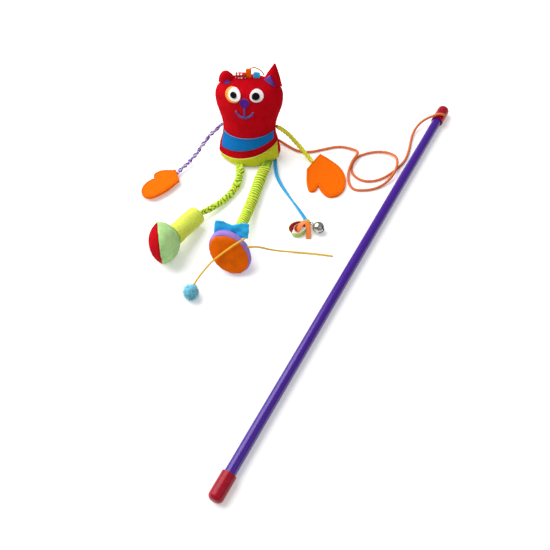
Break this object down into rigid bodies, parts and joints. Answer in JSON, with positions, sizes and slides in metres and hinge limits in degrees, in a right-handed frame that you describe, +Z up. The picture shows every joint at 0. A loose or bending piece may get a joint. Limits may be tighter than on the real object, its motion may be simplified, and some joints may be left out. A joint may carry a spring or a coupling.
{
  "type": "cat teaser wand",
  "caption": "Cat teaser wand: a capped plastic rod, an elastic tether and a sitting plush cat with cord limbs, felt mittens, stuffed feet and a jingle bell on its tail.",
  "frame": {"origin": "centre of the bounding box, on the surface that the toy lies on", "axes": "+Z up from that surface, -Y the way the plush cat faces, +X towards the wand beside it"},
  "size_m": [0.2994, 0.4018, 0.0922],
  "materials": {
    "violet_plastic": "smooth extruded tube",
    "crimson_vinyl": "soft satin",
    "terracotta_elastic": "braided elastic",
    "red_velour": "short pile",
    "white_filling": "loose fibre",
    "purple_felt": "felt",
    "yellow_felt": "felt",
    "white_felt": "felt",
    "black_felt": "felt",
    "blue_thread": "stitched thread",
    "blue_felt": "felt",
    "lime_felt": "felt",
    "spotted_ribbon": "red ribbon with white spots",
    "orange_felt": "felt",
    "sky_felt": "felt",
    "brown_thread": "fine thread",
    "purple_cord": "twisted ribbon cord",
    "yellow_cord": "round cord",
    "green_gather": "gathered, two greens",
    "elastic_core": "covered elastic",
    "cuff_felt": "felt",
    "mint_plush": "short pile",
    "red_sole": "short pile",
    "lime_gather": "gathered, glints of thread",
    "lavender_plush": "short pile",
    "orange_sole": "felt",
    "gold_string": "twisted string",
    "sky_wool": "cut wool",
    "sky_cord": "tube cord",
    "red_ribbon": "satin ribbon",
    "green_ribbon": "satin ribbon",
    "orange_ribbon": "satin ribbon",
    "silver_bell": "polished"
  },
  "bodies": {
    "wand": {"rod_tube": "violet_plastic", "handle_cap": "crimson_vinyl", "tip_cap": "crimson_vinyl", "tether_lead": "terracotta_elastic", "tether_cord": "terracotta_elastic", "tether_end_knot": "terracotta_elastic"},
    "plush": {"front_panel": "red_velour", "back_panel": "red_velour", "stuffing": "white_filling", "ear_right": "red_velour", "ear_left": "red_velour", "ear_patch_right": "purple_felt", "ear_patch_left": "purple_felt", "eye_patch_left": "yellow_felt", "eye_white_left": "white_felt", "pupil_left": "black_felt", "eye_white_right": "white_felt", "pupil_right": "black_felt", "nose": "purple_felt", "mouth_stitch": "blue_thread", "blue_stripe": "blue_felt", "lime_band": "lime_felt", "ribbon_loop_top": "spotted_ribbon", "top_tab_orange": "orange_felt", "top_tab_blue": "sky_felt", "thread_loop": "brown_thread", "tether_tab": "red_velour"},
    "arm_left": {"arm_left_cord": "purple_cord"},
    "mitten_left": {"mitten_left_front": "orange_felt", "mitten_left_back": "orange_felt"},
    "arm_right": {"arm_right_cord": "yellow_cord"},
    "mitten_right": {"mitten_right_front": "orange_felt", "mitten_right_back": "orange_felt"},
    "leg_left": {"leg_left_sleeve": "green_gather", "leg_left_core": "elastic_core"},
    "foot_left": {"ankle_cuff": "cuff_felt", "foot_left_upper": "mint_plush", "foot_left_sole": "red_sole"},
    "leg_right": {"leg_right_sleeve": "lime_gather", "leg_right_core": "elastic_core"},
    "foot_right": {"ankle_bow": "sky_felt", "foot_right_upper": "lavender_plush", "foot_right_sole": "orange_sole", "toe_string_tail": "gold_string"},
    "pompom_string": {"toe_string_front": "gold_string", "pompom": "sky_wool"},
    "tail": {"tail_cord": "sky_cord", "knot_band": "red_ribbon", "ribbon_red": "red_ribbon", "ribbon_green": "green_ribbon", "ribbon_orange": "orange_ribbon"},
    "bell": {"bell_cup": "silver_bell", "bell_cap": "silver_bell", "bell_loop": "silver_bell"},
    "pellet": {"bell_pellet": "silver_bell"}
  },
  "joints": [
    {"name": "plush_swivel", "type": "hinge", "parent": "wand", "child": "plush", "pos_m": [-0.03257, 0.16073, 0.007], "axis": [0, 0, 1], "range_deg": [-30, 0]},
    {"name": "shoulder_left", "type": "hinge", "parent": "plush", "child": "arm_left", "pos_m": [-0.07756, 0.14667, 0.031], "axis": [-0.6421, 0.7666, 0], "range_deg": [0, 70]},
    {"name": "wrist_left", "type": "hinge", "parent": "arm_left", "child": "mitten_left", "pos_m": [-0.1168, 0.1138, 0.0036], "axis": [-0.309, 0.9511, 0], "range_deg": [0, 45]},
    {"name": "shoulder_right", "type": "hinge", "parent": "plush", "child": "arm_right", "pos_m": [-0.02233, 0.14377, 0.031], "axis": [-0.4192, -0.9079, 0], "range_deg": [0, 70]},
    {"name": "wrist_right", "type": "hinge", "parent": "arm_right", "child": "mitten_right", "pos_m": [0.0088, 0.1294, 0.0028], "axis": [-0.5505, -0.8348, 0], "range_deg": [0, 45]},
    {"name": "hip_left", "type": "hinge", "parent": "plush", "child": "leg_left", "pos_m": [-0.05922, 0.11699, 0.0044], "axis": [-0.8623, 0.5063, 0], "range_deg": [0, 45]},
    {"name": "ankle_left", "type": "hinge", "parent": "leg_left", "child": "foot_left", "pos_m": [-0.0948, 0.0564, 0.0084], "axis": [-0.8737, 0.4865, 0], "range_deg": [0, 30]},
    {"name": "hip_right", "type": "hinge", "parent": "plush", "child": "leg_right", "pos_m": [-0.03554, 0.11681, 0.0055], "axis": [-0.9728, 0.2317, 0], "range_deg": [0, 45]},
    {"name": "ankle_right", "type": "hinge", "parent": "leg_right", "child": "foot_right", "pos_m": [-0.0572, 0.02587, 0.01797], "axis": [-0.9507, 0.3103, 0], "range_deg": [0, 30]},
    {"name": "pompom_swing", "type": "hinge", "parent": "foot_right", "child": "pompom_string", "pos_m": [-0.051, 0.01107, 0.02952], "axis": [-0.6096, 0.7927, 0], "range_deg": [0, 30]},
    {"name": "tail_lift", "type": "hinge", "parent": "plush", "child": "tail", "pos_m": [-0.02579, 0.12737, 0.0024], "axis": [-0.9366, -0.3503, 0], "range_deg": [0, 45]},
    {"name": "bell_swing", "type": "hinge", "parent": "tail", "child": "bell", "pos_m": [0.00686, 0.04738, 0.0055], "axis": [-0.6157, -0.788, 0], "range_deg": [0, 50]},
    {"name": "pellet_rattle", "type": "slide", "parent": "bell", "child": "pellet", "axis": [0, 0, 1], "range_m": [0, 0.005]}
  ]
}
